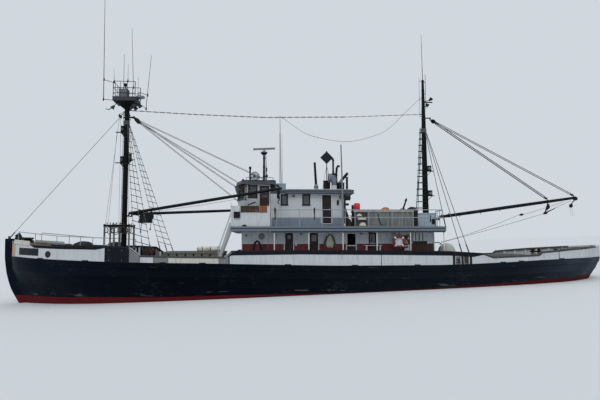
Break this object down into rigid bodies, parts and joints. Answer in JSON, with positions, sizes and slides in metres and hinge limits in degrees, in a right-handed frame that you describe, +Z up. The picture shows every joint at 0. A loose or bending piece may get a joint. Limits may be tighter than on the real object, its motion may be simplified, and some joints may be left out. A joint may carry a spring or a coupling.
{
  "type": "coastal freighter",
  "caption": "Wooden coastal freighter afloat: decked hull, midship deckhouse and wheelhouse, two masts with cargo booms, lookout platform, hatches, rudder and propeller",
  "frame": {"origin": "on the centreline amidships, where the load line plane meets the still water", "axes": "+X towards the bow, +Y to port, +Z up from the water; the ship floats trimmed 2.04 degrees bow up, so its decks rise towards +X"},
  "size_m": [39.5085, 7.84, 23.9468],
  "materials": {
    "tarred_planking": "weathered paint",
    "white_boards": "weathered paint",
    "slate_paint": "weathered paint",
    "varnish": "worn varnish",
    "mast_paint": "weathered paint",
    "black_iron": "weathered paint",
    "grey_iron": "weathered paint",
    "rusty_iron": "rust",
    "wire_rope": "greased",
    "bronze": "dull",
    "red_lead": "matt paint",
    "canvas": "woven"
  },
  "bodies": {
    "ship": {"hull": "tarred_planking", "deckhouse": "white_boards", "boat_deck": "slate_paint", "bridge_front": "white_boards", "wheelhouse": "white_boards", "wheelhouse_roof": "slate_paint", "cabin": "white_boards", "cabin_roof": "slate_paint", "radar_mast": "grey_iron", "roof_casing": "black_iron", "deck_box": "grey_iron", "mast_locker": "slate_paint", "foremast": "mast_paint", "lookout": "grey_iron", "mainmast": "mast_paint", "fore_shrouds": "wire_rope", "main_shrouds": "wire_rope", "forestay": "wire_rope", "triatic_stay": "wire_rope", "cargo_winch_frame": "rusty_iron", "windlass_and_anchor": "black_iron", "fore_ladder": "varnish", "aft_ladder": "varnish", "covered_capstan": "canvas", "bulwark_bow_port": "white_boards", "bulwark_waist_port": "white_boards", "bulwark_quarter_port": "white_boards", "stanchions_port": "white_boards", "bridge_wing_port": "white_boards", "boat_deck_rail_port": "grey_iron", "bulwark_bow_starboard": "white_boards", "bulwark_waist_starboard": "white_boards", "bulwark_quarter_starboard": "white_boards", "stanchions_starboard": "white_boards", "bridge_wing_starboard": "white_boards", "boat_deck_rail_starboard": "grey_iron"},
    "rudder": {"rudder": "red_lead"},
    "propeller": {"propeller": "bronze"},
    "galley_door_port": {"galley_door_port": "varnish"},
    "galley_door_starboard": {"galley_door_starboard": "varnish"},
    "engine_room_door_port": {"engine_room_door_port": "varnish"},
    "engine_room_door_starboard": {"engine_room_door_starboard": "varnish"},
    "mess_half_door_port": {"mess_half_door_port": "varnish"},
    "mess_half_door_starboard": {"mess_half_door_starboard": "varnish"},
    "wheelhouse_door_port": {"wheelhouse_door_port": "varnish"},
    "wheelhouse_door_starboard": {"wheelhouse_door_starboard": "varnish"},
    "cabin_door_port": {"cabin_door_port": "varnish"},
    "cabin_door_starboard": {"cabin_door_starboard": "varnish"},
    "fore_boom_port": {"fore_boom_port": "black_iron"},
    "fore_boom_starboard": {"fore_boom_starboard": "black_iron"},
    "aft_boom": {"aft_boom": "black_iron"},
    "radar_scanner": {"radar_scanner": "grey_iron"},
    "cowl_vent": {"cowl_vent": "slate_paint"},
    "cargo_winch_drum": {"cargo_winch_drum": "rusty_iron"},
    "windlass_drum": {"windlass_drum": "black_iron"},
    "fore_hatch_cover": {"fore_hatch_cover": "slate_paint", "canvas_roll": "canvas"},
    "aft_hatch_cover": {"aft_hatch_cover": "slate_paint"}
  },
  "joints": [
    {"name": "rudder_turn", "type": "hinge", "parent": "ship", "child": "rudder", "pos_m": [-17.11572, 0, -2.11061], "axis": [-0.0356, 0, 0.9994], "range_deg": [-35, 35]},
    {"name": "propeller_spin", "type": "hinge", "parent": "ship", "child": "propeller", "pos_m": [-16.22737, 0, -2.32912], "axis": [0.9994, 0, 0.0356], "continuous": true},
    {"name": "galley_door_port_open", "type": "hinge", "parent": "ship", "child": "galley_door_port", "pos_m": [1.6435, 2.514, 2.00978], "axis": [-0.0356, 0, 0.9994], "range_deg": [-110, 0]},
    {"name": "galley_door_starboard_open", "type": "hinge", "parent": "ship", "child": "galley_door_starboard", "pos_m": [1.6435, -2.514, 2.00978], "axis": [-0.0356, 0, 0.9994], "range_deg": [0, 110]},
    {"name": "engine_room_door_port_open", "type": "hinge", "parent": "ship", "child": "engine_room_door_port", "pos_m": [0.12446, 2.514, 1.95567], "axis": [-0.0356, 0, 0.9994], "range_deg": [-110, 0]},
    {"name": "engine_room_door_starboard_open", "type": "hinge", "parent": "ship", "child": "engine_room_door_starboard", "pos_m": [0.12446, -2.514, 1.95567], "axis": [-0.0356, 0, 0.9994], "range_deg": [0, 110]},
    {"name": "mess_half_door_port_open", "type": "hinge", "parent": "ship", "child": "mess_half_door_port", "pos_m": [-2.23404, 2.514, 1.87166], "axis": [-0.0356, 0, 0.9994], "range_deg": [-110, 0]},
    {"name": "mess_half_door_starboard_open", "type": "hinge", "parent": "ship", "child": "mess_half_door_starboard", "pos_m": [-2.23404, -2.514, 1.87166], "axis": [-0.0356, 0, 0.9994], "range_deg": [0, 110]},
    {"name": "wheelhouse_door_port_open", "type": "hinge", "parent": "ship", "child": "wheelhouse_door_port", "pos_m": [3.15954, 1.764, 4.39526], "axis": [-0.0356, 0, 0.9994], "range_deg": [-110, 0]},
    {"name": "wheelhouse_door_starboard_open", "type": "hinge", "parent": "ship", "child": "wheelhouse_door_starboard", "pos_m": [3.15954, -1.764, 4.39526], "axis": [-0.0356, 0, 0.9994], "range_deg": [0, 110]},
    {"name": "cabin_door_port_open", "type": "hinge", "parent": "ship", "child": "cabin_door_port", "pos_m": [-0.80972, 2.014, 4.3039], "axis": [-0.0356, 0, 0.9994], "range_deg": [-110, 0]},
    {"name": "cabin_door_starboard_open", "type": "hinge", "parent": "ship", "child": "cabin_door_starboard", "pos_m": [-0.80972, -2.014, 4.3039], "axis": [-0.0356, 0, 0.9994], "range_deg": [0, 110]},
    {"name": "fore_boom_port_swing", "type": "hinge", "parent": "ship", "child": "fore_boom_port", "pos_m": [11.62666, 0.35, 5.35727], "axis": [-0.0571, -0.0307, 0.9979], "range_deg": [-38, 0]},
    {"name": "fore_boom_starboard_swing", "type": "hinge", "parent": "ship", "child": "fore_boom_starboard", "pos_m": [11.62666, -0.35, 5.35727], "axis": [-0.0571, 0.0307, 0.9979], "range_deg": [0, 38]},
    {"name": "aft_boom_swing", "type": "hinge", "parent": "ship", "child": "aft_boom", "pos_m": [-9.05203, 0, 4.39056], "axis": [0.0291, 0, 0.9996], "range_deg": [-50, 50]},
    {"name": "radar_spin", "type": "hinge", "parent": "ship", "child": "radar_scanner", "pos_m": [2.70951, 0, 9.33237], "axis": [-0.0356, 0, 0.9994], "continuous": true},
    {"name": "cowl_turn", "type": "hinge", "parent": "ship", "child": "cowl_vent", "pos_m": [-1.78286, 1.25, 6.79084], "axis": [-0.0356, 0, 0.9994], "continuous": true},
    {"name": "cargo_winch_turn", "type": "hinge", "parent": "ship", "child": "cargo_winch_drum", "pos_m": [10.4222, 0, 2.93286], "axis": [0, 1, 0], "continuous": true},
    {"name": "windlass_turn", "type": "hinge", "parent": "ship", "child": "windlass_drum", "pos_m": [17.13833, 0, 3.44226], "axis": [0, 1, 0], "continuous": true},
    {"name": "fore_hatch_lift", "type": "slide", "parent": "ship", "child": "fore_hatch_cover", "axis": [-0.0356, 0, 0.9994], "range_m": [0, 0.5]},
    {"name": "aft_hatch_lift", "type": "slide", "parent": "ship", "child": "aft_hatch_cover", "axis": [-0.0356, 0, 0.9994], "range_m": [0, 0.5]}
  ]
}
